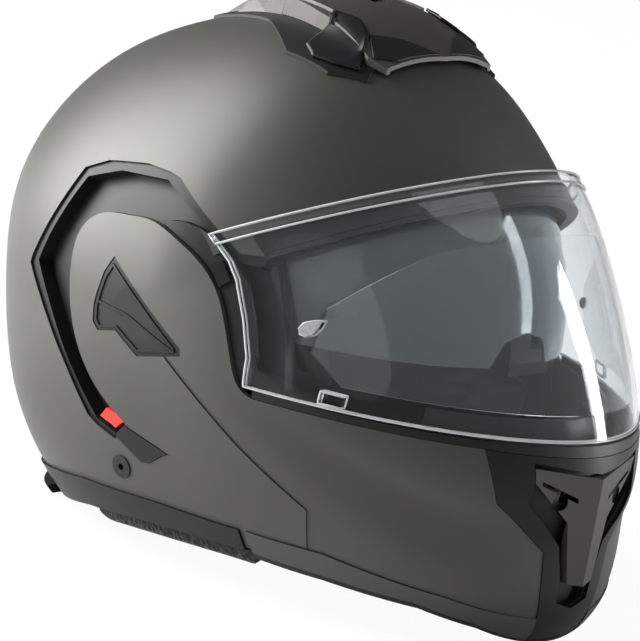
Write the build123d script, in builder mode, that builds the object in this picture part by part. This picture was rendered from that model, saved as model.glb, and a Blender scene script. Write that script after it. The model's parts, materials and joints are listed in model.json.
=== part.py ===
from build123d import *
from math import hypot, radians, sin
import os

os.makedirs("parts", exist_ok=True)

# Driving sizes of the helmet, in millimetres, measured from the ear axis
front_reach = 178.0
rear_reach = 160.0
crown_rise = 133.0
base_drop = 118.0
shell_half_width = 121.5
cover_half_width = 127.0

# Walls and gaps
shell_wall = 3.4
cover_wall = 3.0
lens_wall = 2.4
panel_wall = 2.5
recess_depth = 8.0
fit_gap = 0.15
move_gap = 0.5
running_gap = 0.08
overrun = 30.0
one_side_start = 40.0

# The chin bar and the visor swing about one axis, set back from the ear axis
swing_setback = 15.0

# The ear axis in the helmet's frame: the base is at height zero, the middle of its length at zero
ear_y = (front_reach - rear_reach) / 2
ear_z = base_drop
swing_y = ear_y + swing_setback
swing_z = ear_z

# How full each hull is towards the front, rear, top and bottom: two is an ellipse
shell_fullness = (1.85, 2.25, 2.08, 2.7)
cover_fullness = (1.85, 2.25, 2.08, 2.3)
station_turns = (0, 16, 31, 44, 55, 65, 73, 79.5, 84, 86.5)

# Mid-plane outlines as shares of the reach ahead or behind and of the rise or drop
cover_outline_shares = [
    (1.000, -0.525), (1.000, -0.237), (0.921, 0.135), (0.781, 0.414), (0.607, 0.632), (0.404, 0.842),
    (0.157, 0.985), (-0.138, 0.992), (-0.431, 0.895), (-0.688, 0.737), (-0.887, 0.489),
    (-0.994, 0.165), (-0.969, -0.237), (-0.875, -0.602), (-0.731, -0.873), (-0.487, -1.102),
    (-0.125, -1.246), (0.275, -1.263), (0.663, -1.246), (0.916, -1.034), (0.989, -0.797),
]
shell_outline_shares = [
    (0.966, -0.508), (0.961, -0.254), (0.865, 0.135), (0.730, 0.406), (0.579, 0.617), (0.388, 0.827),
    (0.157, 0.977), (-0.138, 0.992), (-0.431, 0.895), (-0.688, 0.737), (-0.887, 0.489),
    (-0.994, 0.165), (-0.969, -0.237), (-0.875, -0.602), (-0.731, -0.873), (-0.487, -1.102),
    (-0.125, -1.246), (0.275, -1.263), (0.618, -1.229), (0.843, -1.034), (0.938, -0.797),
]
visor_outline_shares = [
    (0.989, -0.508), (1.000, -0.220), (0.899, 0.135), (0.770, 0.414), (0.618, 0.647), (0.404, 0.842),
    (0.157, 0.985), (-0.138, 0.992), (-0.431, 0.895), (-0.688, 0.737), (-0.887, 0.489),
    (-0.994, 0.165), (-0.969, -0.237), (-0.875, -0.602), (-0.731, -0.873), (-0.487, -1.102),
    (-0.125, -1.246), (0.275, -1.263), (0.618, -1.229), (0.854, -1.034), (0.955, -0.797),
]
vent_outline_shares = [
    (0.966, -0.508), (0.961, -0.254), (0.865, 0.135), (0.730, 0.406), (0.579, 0.617), (0.410, 0.850),
    (0.281, 0.955), (0.112, 1.053), (-0.125, 1.075), (-0.312, 1.008), (-0.469, 0.880), (-0.688, 0.737),
    (-0.887, 0.489), (-0.994, 0.165), (-0.969, -0.237), (-0.875, -0.602), (-0.731, -0.873),
    (-0.487, -1.102), (-0.125, -1.246), (0.275, -1.263), (0.618, -1.229), (0.843, -1.034),
    (0.938, -0.797),
]
cavity_outline_shares = [
    (0.607, -0.508), (0.596, 0.000), (0.551, 0.338), (0.438, 0.586), (0.236, 0.737), (-0.031, 0.782),
    (-0.312, 0.722), (-0.525, 0.541), (-0.650, 0.256), (-0.669, -0.085), (-0.619, -0.466),
    (-0.575, -0.763), (-0.500, -1.144), (-0.125, -1.356), (0.337, -1.356), (0.562, -1.017),
]


def side_point(ahead_share, rise_share):
    """A place on the side view, from shares of the sizes that reach that way."""
    reach = front_reach if ahead_share > 0 else rear_reach
    rise = crown_rise if rise_share > 0 else base_drop
    return (ear_y - ahead_share * reach, ear_z + rise_share * rise)


def hull_section(outline_shares, fullness, sideways_share, inset):
    """The hull's outline on a plane that stands a share of its half width from the middle."""
    front, rear, top, bottom = fullness
    points = []
    for ahead_share, rise_share in outline_shares:
        y, z = side_point(ahead_share, rise_share)
        ahead, rise = ear_y - y, z - ear_z
        reach = hypot(ahead, rise)
        ahead_part, rise_part = ahead / reach, rise / reach
        power = (max(ahead_part, 0) ** 2 * front + max(-ahead_part, 0) ** 2 * rear
                 + max(rise_part, 0) ** 2 * top + max(-rise_part, 0) ** 2 * bottom)
        kept = (reach - inset) * (1 - sideways_share ** power) ** (1 / power)
        points.append((ear_y - kept * ahead_part, ear_z + kept * rise_part))
    return points


def hull(outline_shares, half_width, fullness, inset=0):
    """A smooth closed body lofted through upright sections from one side to the other."""
    turns = [-turn for turn in reversed(station_turns[1:])] + list(station_turns)
    with BuildPart() as body:
        for turn in turns:
            sideways_share = sin(radians(turn))
            with BuildSketch(Plane.YZ.offset((half_width - inset) * sideways_share)):
                with BuildLine():
                    add(Edge.make_spline(
                        [Vector(*point) for point in
                         hull_section(outline_shares, fullness, abs(sideways_share), inset)],
                        periodic=True, parameters=[float(k) for k in range(len(outline_shares) + 1)]))
                make_face()
        loft()
    return body.part


def shell_hull(inset=0):
    return hull(shell_outline_shares, shell_half_width, shell_fullness, inset)


def cover_hull(inset=0):
    return hull(cover_outline_shares, cover_half_width, cover_fullness, inset)


def visor_hull(inset=0):
    return hull(visor_outline_shares, cover_half_width, cover_fullness, inset)


def grown(points, amount):
    """A closed outline moved outwards by an amount, corner by corner."""
    count = len(points)
    area = sum(points[k - 1][0] * points[k][1] - points[k][0] * points[k - 1][1] for k in range(count))
    turn = 1 if area > 0 else -1
    moved = []
    for k in range(count):
        normals = []
        for start, end in ((points[k - 1], points[k]), (points[k], points[(k + 1) % count])):
            along, up = end[0] - start[0], end[1] - start[1]
            length = hypot(along, up)
            normals.append((turn * up / length, -turn * along / length))
        (first_a, first_b), (second_a, second_b) = normals
        spread = 1 + first_a * second_a + first_b * second_b
        moved.append((points[k][0] + amount * (first_a + second_a) / spread,
                      points[k][1] + amount * (first_b + second_b) / spread))
    return moved


def side_prism(line_shares, curve_shares=(), corner_radius=0, grow=0, both_sides=True):
    """A side outline, a curve closed by straight runs, carried right through the helmet."""
    points = grown([side_point(*share) for share in list(curve_shares) + list(line_shares)], grow)
    curve_points, line_points = points[:len(curve_shares)], points[len(curve_shares):]
    with BuildPart() as prism:
        with BuildSketch(Plane.YZ.offset(0 if both_sides else one_side_start)) as outline:
            with BuildLine():
                if curve_points:
                    Spline(*curve_points)
                    Polyline(curve_points[-1], *line_points, curve_points[0])
                else:
                    Polyline(*line_points, close=True)
            make_face()
            if corner_radius:
                fillet(outline.vertices(), corner_radius)
        extrude(amount=cover_half_width + overrun, both=both_sides)
    return prism.part


def keep_piece(piece, name):
    """Label a finished piece and write it to its own file."""
    piece.label = name
    export_step(piece, f"parts/{name}.step")


def keep_mirrored(piece, name):
    """Write a left piece and its mirror image on the wearer's right."""
    keep_piece(piece, f"{name}_left")
    keep_piece(mirror(piece, about=Plane.YZ), f"{name}_right")


def keep_pair(piece, name):
    """Write the wearer's right and left halves of a mirrored pair as two pieces."""
    solids = piece.solids().sort_by(Axis.X)
    keep_piece(solids[0], f"{name}_right")
    keep_piece(solids[-1], f"{name}_left")


def end_prism(half_shares, grow=0, start_share=0.35, ahead=True):
    """A mirrored front or rear outline, in shares of the half width and rise, carried outwards."""
    right_half = [(cover_half_width * across, side_point(0, rise)[1]) for across, rise in half_shares]
    left_half = [(-x, z) for x, z in reversed(right_half) if x > 0]
    start_y = side_point(start_share if ahead else -start_share, 0)[0]
    with BuildPart() as prism:
        with BuildSketch(Plane.XZ.offset(-start_y)):
            with BuildLine():
                Polyline(*grown(right_half + left_half, grow), close=True)
            make_face()
        extrude(amount=front_reach if ahead else -front_reach)
    return prism.part


def plan_prism(half_shares, grow=0):
    """A mirrored plan outline, in shares of the half width and reach, carried upwards."""
    right_half = [(cover_half_width * across, side_point(ahead, 0)[0]) for across, ahead in half_shares]
    left_half = [(-x, y) for x, y in reversed(right_half) if x > 0]
    with BuildPart() as prism:
        with BuildSketch(Plane.XY.offset(ear_z + crown_rise / 2)):
            with BuildLine():
                Polyline(*grown(right_half + left_half, grow), close=True)
            make_face()
        extrude(amount=crown_rise)
    return prism.part


def layer(outer, inner, *kept_within):
    """What lies between two nested hulls, kept only within each of the given bodies."""
    with BuildPart() as wall:
        add(outer)
        for region in kept_within:
            add(region, mode=Mode.INTERSECT)
        add(inner, mode=Mode.SUBTRACT)
    return wall.part


def swing_rod(radius, near_x, far_x):
    """A pair of discs on the swing axis, one each side of the helmet."""
    with BuildPart() as rods:
        with BuildSketch(Plane.YZ.offset(near_x)):
            with Locations((swing_y, swing_z)):
                Circle(radius)
        extrude(amount=far_x - near_x)
        mirror(about=Plane.YZ)
    return rods.part


# Side-view outlines, as shares of the reach and the rise or drop from the ear axis
pod_curve_shares = [
    (0.000, -0.466), (-0.069, -0.415), (-0.138, -0.347), (-0.206, -0.246), (-0.262, -0.110),
    (-0.294, 0.060), (-0.284, 0.196), (-0.225, 0.263), (-0.125, 0.290), (-0.031, 0.301), (0.062, 0.271),
    (0.157, 0.211), (0.219, 0.135), (0.264, 0.030), (0.298, -0.085), (0.326, -0.161), (0.371, -0.199),
]
chin_line_shares = [
    (0.562, -0.203), (0.865, -0.212), (1.124, -0.237), (1.124, -1.060), (0.944, -0.975),
    (0.888, -0.905), (0.792, -0.853), (0.584, -0.822), (0.399, -0.814), (0.365, -0.712),
    (0.337, -0.661), (0.157, -0.525), (0.135, -0.517),
]
visor_line_shares = [
    (0.152, 0.316), (0.629, 0.677), (0.843, 0.842), (1.124, 0.451), (1.124, -0.169), (0.343, -0.161),
    (0.337, -0.051), (0.303, 0.075), (0.258, 0.195), (0.225, 0.248),
]
brow_band_shares = [
    (0.232, 0.345), (0.629, 0.652), (0.843, 0.818), (1.000, 0.900), (0.900, 0.700), (0.629, 0.560),
    (0.290, 0.280),
]
recess_line_shares = [
    (-0.394, 0.368), (-0.306, 0.421), (-0.250, 0.436), (-0.150, 0.459), (-0.056, 0.459),
    (-0.013, 0.451), (0.146, 0.331), (0.225, 0.271), (0.393, 0.301), (0.449, 0.000), (0.449, -0.381),
    (0.292, -0.492), (0.157, -0.517), (0.000, -0.475), (-0.031, -0.500), (-0.056, -0.551),
    (-0.131, -0.525), (-0.175, -0.500), (-0.294, -0.339), (-0.519, -0.059), (-0.544, -0.025),
    (-0.537, 0.008),
]
pocket_line_shares = [
    (-0.394, 0.368), (-0.250, 0.436), (-0.056, 0.459), (0.146, 0.331), (0.225, 0.271), (0.600, 0.301),
    (0.600, -0.492), (-0.019, -0.492), (-0.056, -0.551), (-0.150, -0.518), (-0.294, -0.339),
    (-0.540, -0.010),
]
face_opening_shares = [
    (0.270, 0.278), (0.657, 0.602), (1.124, 0.977), (1.124, -1.500), (0.472, -1.500), (0.461, -0.847),
    (0.427, -0.712), (0.371, -0.559), (0.393, -0.390), (0.393, -0.169), (0.360, 0.030), (0.315, 0.165),
]
rim_top_shares = [
    (-1.094, -0.907), (-0.844, -0.907), (-0.594, -0.881), (-0.375, -0.822), (-0.206, -0.780),
    (0.084, -0.746), (0.358, -0.733),
]
rim_bottom_shares = [
    (0.374, -0.814), (0.191, -0.831), (0.011, -0.856), (-0.206, -0.898), (-0.450, -0.975),
    (-0.560, -0.998), (-1.094, -0.998),
]
below_shell_shares = rim_top_shares + [(0.371, -0.800), (0.600, -0.800), (0.600, -1.500), (-1.094, -1.500)]
land_zone_shares = [(0.100, -0.500), (0.480, -0.500), (0.480, -1.200), (0.250, -1.200), (0.250, -0.740)]
lock_cover_shares = [
    (-0.062, -0.530), (-0.020, -0.480), (0.135, -0.528), (0.112, -0.547), (0.073, -0.593),
    (0.045, -0.602),
]
arm_line_shares = [
    (-0.006, 0.293), (0.022, 0.318), (0.067, 0.327), (0.112, 0.323), (0.150, 0.310), (0.213, 0.268),
    (0.275, 0.198), (0.323, 0.078), (0.352, -0.045), (0.354, -0.150), (0.292, -0.203), (0.112, -0.153),
    (-0.062, -0.169), (-0.219, -0.060), (-0.219, 0.120),
]
tab_shares = [(0.174, 0.218), (0.202, 0.244), (0.239, 0.188), (0.216, 0.154)]
tab_stem_shares = [(0.199, 0.207), (0.211, 0.207), (0.211, 0.192), (0.199, 0.192)]
tab_slot_shares = [
    (0.196, 0.211), (0.214, 0.211), (0.227, 0.189), (0.227, 0.170), (0.208, 0.170), (0.196, 0.188),
]
inset_shares = [
    (-0.125, 0.143), (0.152, -0.093), (0.157, -0.119), (0.022, -0.178), (-0.069, -0.110),
    (-0.138, -0.136), (-0.163, -0.110), (-0.169, -0.042), (-0.163, 0.008), (-0.150, 0.083),
]
lever_shares = [
    (-0.125, -0.483), (-0.100, -0.440), (-0.020, -0.458), (-0.044, -0.485), (-0.060, -0.506),
    (-0.090, -0.493),
]
lever_stem_shares = [(-0.106, -0.490), (-0.088, -0.460), (-0.050, -0.475), (-0.063, -0.500)]
insert_shares = [
    (0.472, 0.015), (0.472, 0.165), (0.620, 0.400), (0.843, 0.560), (1.124, 0.500), (1.124, -0.080),
    (0.562, -0.080),
]
cheek_shares = [
    (-0.360, -0.265), (0.350, -0.265), (0.335, -0.430), (0.303, -0.525), (0.303, -0.830),
    (-0.190, -0.850), (-0.360, -0.805),
]
chin_foam_shares = [
    (0.562, -0.260), (1.124, -0.260), (1.124, -0.960), (0.888, -0.850), (0.792, -0.815),
    (0.562, -0.785),
]
air_way_half_shares = [
    (0.000, -0.200), (0.325, -0.200), (0.325, -0.420), (0.148, -0.600), (0.112, -0.720),
    (0.102, -0.840), (0.000, -0.870),
]
chin_facet_shares = [
    [(0.107, -0.136), (0.365, -0.398), (0.551, -0.568), (0.551, -0.720), (0.393, -0.680), (0.157, -0.500)],
    [(0.382, -0.729), (0.590, -0.729), (0.843, -0.805), (1.124, -0.960), (1.124, -1.200), (0.382, -1.200)],
]
chin_edge_shares = [
    (0.400, -0.816), (0.584, -0.824), (0.792, -0.855), (0.888, -0.908), (0.944, -0.978), (1.124, -1.063),
    (1.124, -1.081), (0.944, -0.996), (0.888, -0.926), (0.792, -0.873), (0.584, -0.842), (0.400, -0.834),
]
chin_seal_shares = [
    (0.371, -0.163), (0.562, -0.174), (0.865, -0.181), (1.124, -0.181), (1.124, -0.235),
    (0.865, -0.210), (0.562, -0.200), (0.371, -0.196),
]
visor_ridge_shares = [
    [(0.152, 0.316), (0.629, 0.677), (0.843, 0.842), (0.900, 0.800), (0.640, 0.640), (0.175, 0.290)],
]
sun_line_shares = [
    (0.225, 0.203), (0.331, 0.000), (0.800, 0.000), (0.800, 0.760), (0.503, 0.715), (0.343, 0.480),
]
sun_arm_shares = [
    (-0.030, 0.060), (0.034, -0.050), (0.090, -0.060), (0.345, 0.000), (0.300, 0.180), (0.225, 0.230),
    (0.060, 0.080), (-0.030, 0.080),
]
foam_shares = [
    (-1.100, -0.760), (-0.375, -0.760), (-0.375, -0.220), (0.450, -0.220), (0.450, 0.250), (0.657, 0.560),
    (1.000, 0.900), (1.000, 1.200), (-1.100, 1.200),
]
crown_shares = [
    (-1.000, -0.400), (-0.420, -0.400), (-0.300, 0.100), (0.280, 0.200), (0.450, 0.520), (0.600, 1.200),
    (-1.000, 1.200),
]
neck_shares = [(-1.000, -0.860), (-0.240, -0.860), (-0.200, -0.995), (-1.000, -0.995)]
rear_lip_shares = [
    (-0.480, -0.945), (-0.600, -0.958), (-1.200, -0.958), (-1.200, -1.000), (-0.560, -1.000),
    (-0.480, -0.982),
]
curtain_shares = [
    (0.562, -0.795), (0.792, -0.825), (0.888, -0.870), (0.944, -0.930), (0.944, -0.975), (0.888, -0.912),
    (0.792, -0.862), (0.562, -0.832),
]
guard_shares = [(0.700, -0.120), (1.124, -0.120), (1.124, -0.420), (0.700, -0.330)]
striker_base_shares = [
    (0.326, -0.593), (0.371, -0.593), (0.421, -0.715), (0.426, -0.728), (0.371, -0.728), (0.326, -0.660),
]
striker_arm_shares = [
    (0.348, -0.627), (0.393, -0.627), (0.494, -0.653), (0.497, -0.705), (0.427, -0.728), (0.360, -0.700),
]
jaw_shares = [
    (0.447, -0.593), (0.548, -0.593), (0.548, -0.763), (0.508, -0.763), (0.462, -0.712), (0.494, -0.669),
    (0.478, -0.644), (0.461, -0.648), (0.447, -0.669),
]
jaw_root_shares = [(0.510, -0.610), (0.548, -0.610), (0.548, -0.746), (0.510, -0.746)]
anchor_shares = [(-0.206, -0.575), (-0.006, -0.575), (-0.006, -0.650), (-0.206, -0.650)]
sun_slider_shares = [(0.056, -0.661), (0.135, -0.661), (0.135, -0.712), (0.056, -0.712)]
sun_stem_shares = [(0.079, -0.674), (0.112, -0.674), (0.112, -0.699), (0.079, -0.699)]
sun_slot_shares = [(0.076, -0.670), (0.183, -0.670), (0.183, -0.703), (0.076, -0.703)]
pin_shares = [
    (0.438, 0.090), (0.444, 0.075), (0.458, 0.070), (0.472, 0.080), (0.480, 0.102), (0.483, 0.128),
    (0.463, 0.122), (0.445, 0.110),
]
lens_tab_shares = [(0.539, -0.100), (0.590, -0.103), (0.590, -0.148), (0.539, -0.144)]
striker_pin_share = (0.478, -0.678)
seal_high_shares = [(0.100, 0.290), (1.200, 0.290), (1.200, 1.200), (0.100, 1.200)]
seal_low_shares = [(0.100, -0.155), (0.700, -0.155), (0.700, 0.330), (0.100, 0.330)]
seal_step_shares = [(0.100, 0.250), (0.700, 0.250), (0.700, 0.345), (0.100, 0.345)]

# Plan-view outlines, as shares of the half width across and of the reach ahead
vent_base_shares = [
    (0.000, 0.236), (0.285, 0.219), (0.370, 0.247), (0.457, 0.163), (0.465, 0.022), (0.300, -0.169),
    (0.190, -0.450), (0.000, -0.480),
]
vent_scoop_shares = [
    (0.000, 0.281), (0.300, 0.264), (0.331, 0.213), (0.290, 0.000), (0.220, -0.250), (0.150, -0.440),
    (0.000, -0.469),
]
vent_channel_shares = [
    (0.000, 0.400), (0.283, 0.400), (0.283, 0.213), (0.250, 0.000), (0.170, -0.250), (0.110, -0.380),
    (0.000, -0.400),
]
vent_slider_shares = [(0.000, -0.020), (0.060, -0.020), (0.060, -0.130), (0.000, -0.130)]
vent_stem_shares = [(0.000, -0.050), (0.030, -0.050), (0.030, -0.100), (0.000, -0.100)]
vent_slot_shares = [(0.000, 0.035), (0.040, 0.035), (0.040, -0.110), (0.000, -0.110)]

# Rear-view outlines
exhaust_half_shares = [(0.000, 0.480), (0.268, 0.440), (0.340, 0.300), (0.240, 0.205), (0.000, 0.190)]
exhaust_slot_shares = [(0.060, 0.370), (0.220, 0.345), (0.255, 0.290), (0.060, 0.310)]

# Front-view outlines, as shares of the half width across and of the drop below the ear axis
surround_half_shares = [
    (0.000, -0.150), (0.457, -0.150), (0.457, -0.203), (0.402, -0.415), (0.189, -0.602),
    (0.173, -0.754), (0.142, -0.950), (0.126, -1.200), (0.000, -1.200),
]
mouth_half_shares = [
    (0.000, -0.290), (0.300, -0.245), (0.291, -0.322), (0.307, -0.407), (0.130, -0.580),
    (0.094, -0.712), (0.087, -0.810), (0.000, -0.840),
]
vent_cover_half_shares = [
    (0.000, -0.309), (0.292, -0.268), (0.281, -0.326), (0.258, -0.347), (0.116, -0.483),
    (0.071, -0.729), (0.000, -0.740),
]
vent_slot_half_shares = [(0.087, -0.388), (0.252, -0.318), (0.252, -0.335), (0.087, -0.407)]

# Nested hulls that the layers are cut from
land_depth = 4.2
land_wall = 3.0
step_gap = 0.6
shell_outside = shell_hull()
shell_inside = shell_hull(shell_wall)
recess_floor = shell_hull(recess_depth)
recess_back = shell_hull(recess_depth + panel_wall)
land_outside = shell_hull(land_depth)
land_inside = shell_hull(land_depth + land_wall)
cover_outside = cover_hull()
cover_inside = cover_hull(cover_wall)

# Regions that the layers are cut to
opening_corner = 6.0
face_opening = side_prism(face_opening_shares, corner_radius=opening_corner)
chin_region = side_prism(chin_line_shares, pod_curve_shares)
chin_region_near = side_prism(chin_line_shares, pod_curve_shares, grow=step_gap)
chin_region_wide = side_prism(chin_line_shares, pod_curve_shares, grow=step_gap + land_wall)
recess_region = side_prism(recess_line_shares)
below_shell = side_prism(below_shell_shares)
land_zone = side_prism(land_zone_shares)
lock_cover_region = side_prism(lock_cover_shares)

# Outer shell: one thin wall, side windows for the recess panels and a sunk land under the chin bar
plug_radius = 4.5
plug_place_share = (-0.031, -0.655)
plug_place = side_point(*plug_place_share)
with BuildPart() as outer_shell:
    add(shell_outside)
    add(shell_inside, mode=Mode.SUBTRACT)
    add(chin_region_near, mode=Mode.SUBTRACT)
    add(layer(land_outside, land_inside, land_zone, chin_region_wide))
    add(layer(shell_outside, land_inside, land_zone, layer(chin_region_wide, chin_region_near)))
    add(face_opening, mode=Mode.SUBTRACT)
    add(recess_region, mode=Mode.SUBTRACT)
    add(below_shell, mode=Mode.SUBTRACT)
    add(lock_cover_region, mode=Mode.SUBTRACT)
    add(side_prism(sun_slot_shares, both_sides=False), mode=Mode.SUBTRACT)
    with BuildSketch(Plane.YZ):
        with Locations(plug_place):
            Circle(plug_radius)
    extrude(amount=cover_half_width, both=True, mode=Mode.SUBTRACT)
keep_piece(outer_shell.part, "outer_shell")

# Recess panels: sunk dark trays with flared sides that stand round each swing hub
lip_depth = 1.2
pocket_lip = 0.6
pocket_draw = 26.0
pocket_flare = 7.0
pocket_points = [side_point(*share) for share in pocket_line_shares]
with BuildPart() as recess_pocket:
    for depth, shrink in ((0, pocket_lip), (pocket_draw, pocket_lip + pocket_flare)):
        with BuildSketch(Plane.YZ.offset(shell_half_width - depth)):
            with BuildLine():
                Polyline(*grown(pocket_points, -shrink), close=True)
            make_face()
    loft(ruled=True)
    mirror(about=Plane.YZ)
with BuildPart() as recess_panels:
    add(shell_hull(lip_depth))
    add(side_prism(recess_line_shares, grow=-fit_gap), mode=Mode.INTERSECT)
    add(recess_back, mode=Mode.SUBTRACT)
    add(layer(shell_outside, recess_floor, recess_pocket.part), mode=Mode.SUBTRACT)
    add(face_opening, mode=Mode.SUBTRACT)

# Swing pivots: a plate and stud on each recess panel, and a hub under each chin bar pod
plate_radius = 25.0
plate_sink = 5.5
plate_face = shell_half_width - plate_sink
stud_radius = 6.0
stud_reach = 5.8
stud_end = plate_face + stud_reach
hub_flange_radius = 20.0
hub_flange_wall = 2.0
hub_boss_radius = 12.0
screw_circle = 16.0
screw_radius = 2.4
screw_head_radius = 3.2
screw_head_depth = 1.2
screw_length = 6.0
screw_count = 3
first_screw_angle = 90
head_room = 8.0


def screw_ring(extra, head_above):
    """Screws round the swing axis on both sides, each a shank under a head, or the room that they need."""
    with BuildPart() as ring:
        for low, high, radius in ((-screw_length - extra, 0, screw_radius + extra),
                                  (-screw_head_depth - extra, head_above, screw_head_radius + extra)):
            with BuildSketch(Plane.YZ.offset(plate_face + low)):
                with Locations((swing_y, swing_z)):
                    with PolarLocations(screw_circle, screw_count, start_angle=first_screw_angle):
                        Circle(radius)
            extrude(amount=high - low)
        mirror(about=Plane.YZ)
    return ring.part


screw_holes = screw_ring(fit_gap, head_room)
keep_piece(screw_ring(0, 0), "pivot_screws")
with BuildPart() as pivot_plates:
    add(swing_rod(plate_radius, plate_face - overrun, plate_face))
    add(shell_hull(recess_depth - fit_gap), mode=Mode.SUBTRACT)
    add(swing_rod(stud_radius, plate_face, stud_end))
    add(screw_holes, mode=Mode.SUBTRACT)
keep_pair(pivot_plates.part, "pivot_plate")
with BuildPart() as drilled_panels:
    add(recess_panels.part)
    add(screw_holes, mode=Mode.SUBTRACT)
keep_pair(drilled_panels.part, "recess_panel")

with BuildPart() as chin_hubs:
    add(swing_rod(hub_flange_radius, plate_face + move_gap, plate_face + move_gap + hub_flange_wall))
    add(swing_rod(hub_boss_radius, plate_face + move_gap, cover_half_width))
    add(cover_hull(cover_wall + fit_gap / 3), mode=Mode.INTERSECT)
    add(swing_rod(stud_radius + running_gap, plate_face - move_gap, stud_end + move_gap),
        mode=Mode.SUBTRACT)
keep_pair(chin_hubs.part, "chin_hub")

# Chin bar: a shaped wall with pods over the hubs, raised facets and an opening for the chin vent
facet_rise = 0.9
surround_proud = 0.5
surround_depth = 1.4
inset_sink = 0.4
inset_wall = 1.6
surround_region = end_prism(surround_half_shares)
with BuildPart() as chin_bar:
    add(layer(cover_outside, cover_inside, chin_region))
    for band_shares in chin_facet_shares:
        add(layer(cover_hull(-facet_rise), cover_inside, side_prism(band_shares), chin_region))
    add(layer(cover_hull(-overrun / 2), cover_hull(surround_depth + fit_gap),
              end_prism(surround_half_shares, grow=fit_gap)), mode=Mode.SUBTRACT)
    add(end_prism(mouth_half_shares, grow=step_gap), mode=Mode.SUBTRACT)
    add(layer(cover_hull(-overrun / 2), cover_hull(inset_wall + fit_gap),
              side_prism(inset_shares, grow=fit_gap)), mode=Mode.SUBTRACT)
keep_piece(chin_bar.part, "chin_bar")

# Pod insets: open-angled trim plates let into the pods
with BuildPart() as pod_insets:
    add(layer(cover_hull(inset_sink), cover_hull(inset_wall), side_prism(inset_shares)))
keep_pair(pod_insets.part, "pod_inset")

# Chin vent: surround, ridged cover, grille and a sliding shutter behind it
grille_near = 5.6
grille_wall = 2.0
ridge_proud = 2.6
ridge_depth = 2.4
with BuildPart() as chin_vent_surround:
    add(layer(cover_hull(-surround_proud), cover_hull(surround_depth), surround_region, chin_region))
    add(end_prism(mouth_half_shares), mode=Mode.SUBTRACT)
keep_piece(chin_vent_surround.part, "chin_vent_surround")
ridge_points = [
    (0, ear_y - front_reach - ridge_proud),
    (cover_half_width * 0.32, ear_y - front_reach * 0.945),
    (cover_half_width * 0.32, ear_y - front_reach * 0.80),
    (-cover_half_width * 0.32, ear_y - front_reach * 0.80),
    (-cover_half_width * 0.32, ear_y - front_reach * 0.945),
]
with BuildPart() as chin_vent_cover:
    with BuildSketch(Plane.XY):
        with BuildLine():
            Polyline(*ridge_points, close=True)
        make_face()
    extrude(amount=ear_z)
    add(end_prism(vent_cover_half_shares), mode=Mode.INTERSECT)
    add(cover_hull(ridge_depth), mode=Mode.SUBTRACT)
    for side in (-1, 1):
        slot_points = [(side * cover_half_width * across, ear_z + base_drop * rise)
                       for across, rise in vent_slot_half_shares]
        with BuildSketch(Plane.XZ.offset(-ear_y + front_reach / 2)):
            with BuildLine():
                Polyline(*slot_points, close=True)
            make_face()
        extrude(amount=front_reach, mode=Mode.SUBTRACT)
keep_piece(chin_vent_cover.part, "chin_vent_cover")
grille_pitch = 7.0
grille_bar = 1.6
grille_rows = 5
grille_drop_share = 0.30
grille_first_share, grille_step_share = 0.42, 0.085
grille_top = ear_z - grille_drop_share * base_drop
with BuildPart() as chin_vent_grille:
    add(layer(cover_hull(grille_near), cover_hull(grille_near + grille_wall),
              end_prism(mouth_half_shares, grow=-fit_gap)))
    with BuildSketch(Plane.XZ.offset(-ear_y + front_reach / 2)):
        for row in range(grille_rows):
            width = cover_half_width * (grille_first_share - grille_step_share * row)
            with Locations((0, grille_top - grille_pitch * row - grille_pitch / 2)):
                SlotOverall(width, grille_pitch - grille_bar)
    extrude(amount=front_reach, mode=Mode.SUBTRACT)
keep_piece(chin_vent_grille.part, "chin_vent_grille")

# Chin vent shutter: a plate that slides down behind the grille
shutter_near = grille_near + grille_wall + move_gap
shutter_wall = 2.0
shutter_half_width = 14.0
shutter_height = 34.0
shutter_ahead_share, shutter_drop_share = 0.6, 0.62
with BuildPart() as chin_vent_slider:
    with BuildSketch(Plane.XZ.offset(-ear_y + front_reach * shutter_ahead_share)):
        with Locations((0, grille_top - shutter_height * shutter_drop_share)):
            Rectangle(2 * shutter_half_width, shutter_height)
    extrude(amount=front_reach)
    add(cover_hull(shutter_near), mode=Mode.INTERSECT)
    add(cover_hull(shutter_near + shutter_wall), mode=Mode.SUBTRACT)
keep_piece(chin_vent_slider.part, "chin_vent_slider")

# Chin trims: bead along the lower edge, rubber seal along the top edge and soft curtain
bead_proud = 0.6
seal_wall = 3.2
with BuildPart() as chin_edge_trim:
    add(layer(cover_hull(-bead_proud), cover_hull(cover_wall + bead_proud),
              side_prism(chin_edge_shares)))
keep_piece(chin_edge_trim.part, "chin_edge_trim")
with BuildPart() as lower_visor_seal:
    add(layer(cover_hull(-bead_proud / 2), cover_hull(seal_wall), side_prism(chin_seal_shares)))
keep_piece(lower_visor_seal.part, "lower_visor_seal")

# Chin lining: hard foam with an air way behind the vent, breath guard and curtain
foam_near = 3.4
foam_far = 15.0
with BuildPart() as chin_eps:
    add(layer(cover_hull(foam_near), cover_hull(foam_far), side_prism(chin_foam_shares)))
    add(end_prism(air_way_half_shares), mode=Mode.SUBTRACT)
keep_piece(chin_eps.part, "chin_eps")

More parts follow.
